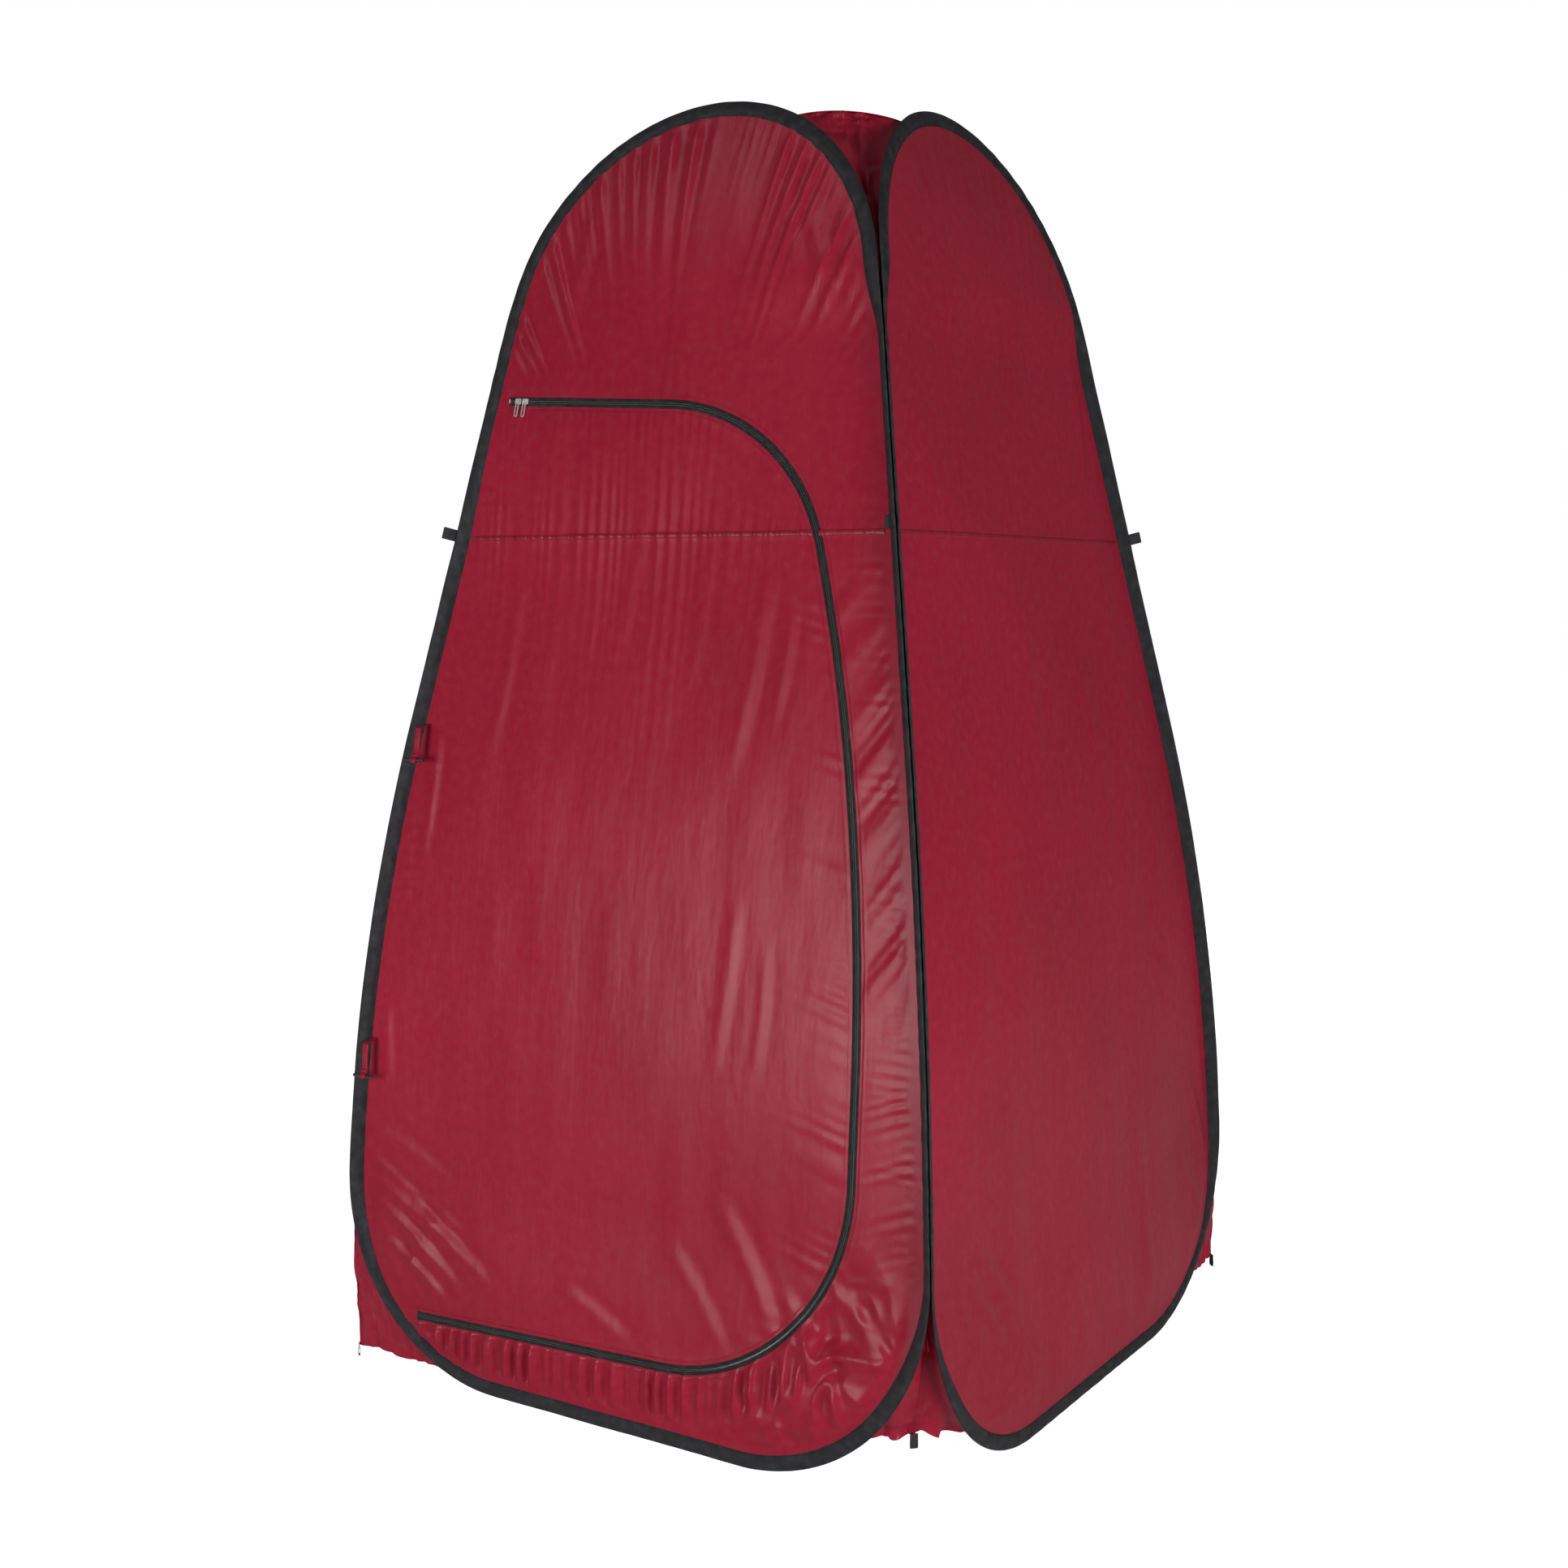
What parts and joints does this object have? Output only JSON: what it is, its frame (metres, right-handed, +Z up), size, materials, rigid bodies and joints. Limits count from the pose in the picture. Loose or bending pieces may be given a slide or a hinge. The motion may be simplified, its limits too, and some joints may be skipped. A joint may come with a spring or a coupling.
{
  "type": "privacy shower tent",
  "caption": "Tall pop-up privacy shelter: sprung loops in dark sleeves, crimson taffeta walls that narrow upwards, and a D-shaped zipped door.",
  "frame": {"origin": "on the ground under the middle of the tent", "axes": "+Z up, -Y out through the front (door) face, +X out through the right face as seen from the front"},
  "size_m": [1.172, 1.172, 2.13],
  "materials": {
    "wall_cloth": "glossy crimson taffeta",
    "sleeve_cloth": "dark grey woven polyester",
    "spring_steel": "flat spring steel band",
    "zip_tape": "black woven tape",
    "zip_chain": "black coil",
    "slider_metal": "nickel plated",
    "toggle_plastic": "black moulded bar",
    "elastic": "black shock cord",
    "webbing": "black grosgrain webbing"
  },
  "bodies": {
    "front_panel": {"front_spring": "spring_steel", "front_ferrule": "spring_steel", "front_sleeve": "sleeve_cloth", "front_wall_lower": "wall_cloth", "front_wall_upper": "wall_cloth", "zip_tape_frame": "zip_tape", "zip_chain_frame": "zip_chain", "zip_stop": "zip_chain", "zip_patch": "wall_cloth", "keeper_upper": "elastic", "keeper_lower": "elastic", "roof_front": "wall_cloth", "front_right_top_gusset": "wall_cloth", "front_left_top_gusset": "wall_cloth", "front_right_base_gusset": "wall_cloth", "front_left_base_gusset": "wall_cloth", "front_right_peg_loop": "webbing", "front_left_peg_loop": "webbing", "front_right_guy_loop": "webbing", "front_left_guy_loop": "webbing"},
    "right_panel": {"right_spring": "spring_steel", "right_ferrule": "spring_steel", "right_sleeve": "sleeve_cloth", "right_wall_lower": "wall_cloth", "right_wall_upper": "wall_cloth", "roof_right": "wall_cloth", "back_right_top_gusset": "wall_cloth", "back_right_base_gusset": "wall_cloth", "back_right_peg_loop": "webbing", "back_right_guy_loop": "webbing"},
    "back_panel": {"back_spring": "spring_steel", "back_ferrule": "spring_steel", "back_sleeve": "sleeve_cloth", "back_wall_lower": "wall_cloth", "back_wall_upper": "wall_cloth", "roof_back": "wall_cloth", "back_left_top_gusset": "wall_cloth", "back_left_base_gusset": "wall_cloth", "back_left_peg_loop": "webbing", "back_left_guy_loop": "webbing"},
    "left_panel": {"left_spring": "spring_steel", "left_ferrule": "spring_steel", "left_sleeve": "sleeve_cloth", "left_wall_lower": "wall_cloth", "left_wall_upper": "wall_cloth", "roof_left": "wall_cloth"},
    "door": {"door_lower": "wall_cloth", "door_upper": "wall_cloth", "zip_tape_door": "zip_tape", "zip_chain_door": "zip_chain"},
    "slider_inner_body": {"slider_inner": "slider_metal"},
    "slider_outer_body": {"slider_outer": "slider_metal"},
    "pull_inner_body": {"pull_inner": "slider_metal"},
    "pull_outer_body": {"pull_outer": "slider_metal"},
    "strap_upper_body": {"strap_upper": "wall_cloth", "toggle_upper": "toggle_plastic"},
    "strap_lower_body": {"strap_lower": "wall_cloth", "toggle_lower": "toggle_plastic"}
  },
  "joints": [
    {"name": "fold", "type": "hinge", "parent": "front_panel", "child": "right_panel", "pos_m": [0.62354, -0.62354, 0.342], "axis": [0.1429, -0.1429, -0.9794], "range_deg": [0, 72], "deforming": ["roof_front", "roof_right", "roof_back", "roof_left", "front_right_top_gusset", "back_right_top_gusset", "back_left_top_gusset", "front_left_top_gusset", "front_right_base_gusset", "back_right_base_gusset", "back_left_base_gusset", "front_left_base_gusset"]},
    {"name": "fold_back_right", "type": "hinge", "parent": "right_panel", "child": "back_panel", "pos_m": [0.54854, 0.54854, 0.342], "axis": [-0.1429, -0.1429, 0.9794], "range_deg": [0, 74.16]},
    {"name": "fold_back_left", "type": "hinge", "parent": "back_panel", "child": "left_panel", "pos_m": [-0.62354, 0.62354, 0.342], "axis": [-0.1429, 0.1429, -0.9794], "range_deg": [0, 72.72]},
    {"name": "door_hinge", "type": "hinge", "parent": "front_panel", "child": "door", "pos_m": [-0.417, -0.63183, 0.107], "axis": [-0.0799, -0.1187, -0.9897], "range_deg": [0, 160]},
    {"name": "slider_inner_slide", "type": "slide", "parent": "front_panel", "child": "slider_inner_body", "axis": [0.9979, -0.0115, -0.0633], "range_m": [0, 0.25]},
    {"name": "slider_outer_slide", "type": "slide", "parent": "front_panel", "child": "slider_outer_body", "axis": [0.9979, -0.0115, -0.0633], "range_m": [0, 0.25]},
    {"name": "pull_inner_swing", "type": "hinge", "parent": "slider_inner_body", "child": "pull_inner_body", "pos_m": [-0.30647, -0.40019, 1.65668], "axis": [-0.9979, 0.0115, 0.0633], "range_deg": [0, 140]},
    {"name": "pull_outer_swing", "type": "hinge", "parent": "slider_outer_body", "child": "pull_outer_body", "pos_m": [-0.32144, -0.40002, 1.65763], "axis": [-0.9979, 0.0115, 0.0633], "range_deg": [0, 140]},
    {"name": "strap_upper_swing", "type": "hinge", "parent": "front_panel", "child": "strap_upper_body", "pos_m": [-0.46627, -0.50059, 1.10691], "axis": [-1, 0, 0], "range_deg": [0, 120]},
    {"name": "strap_lower_swing", "type": "hinge", "parent": "front_panel", "child": "strap_lower_body", "pos_m": [-0.53675, -0.57114, 0.56239], "axis": [-1, 0, 0], "range_deg": [0, 120]}
  ],
  "couplings": [
    {"joint": "fold_back_right", "follows": "fold", "ratio": 1.023},
    {"joint": "fold_back_left", "follows": "fold", "ratio": 1},
    {"joint": "slider_outer_slide", "follows": "slider_inner_slide", "ratio": 1}
  ]
}
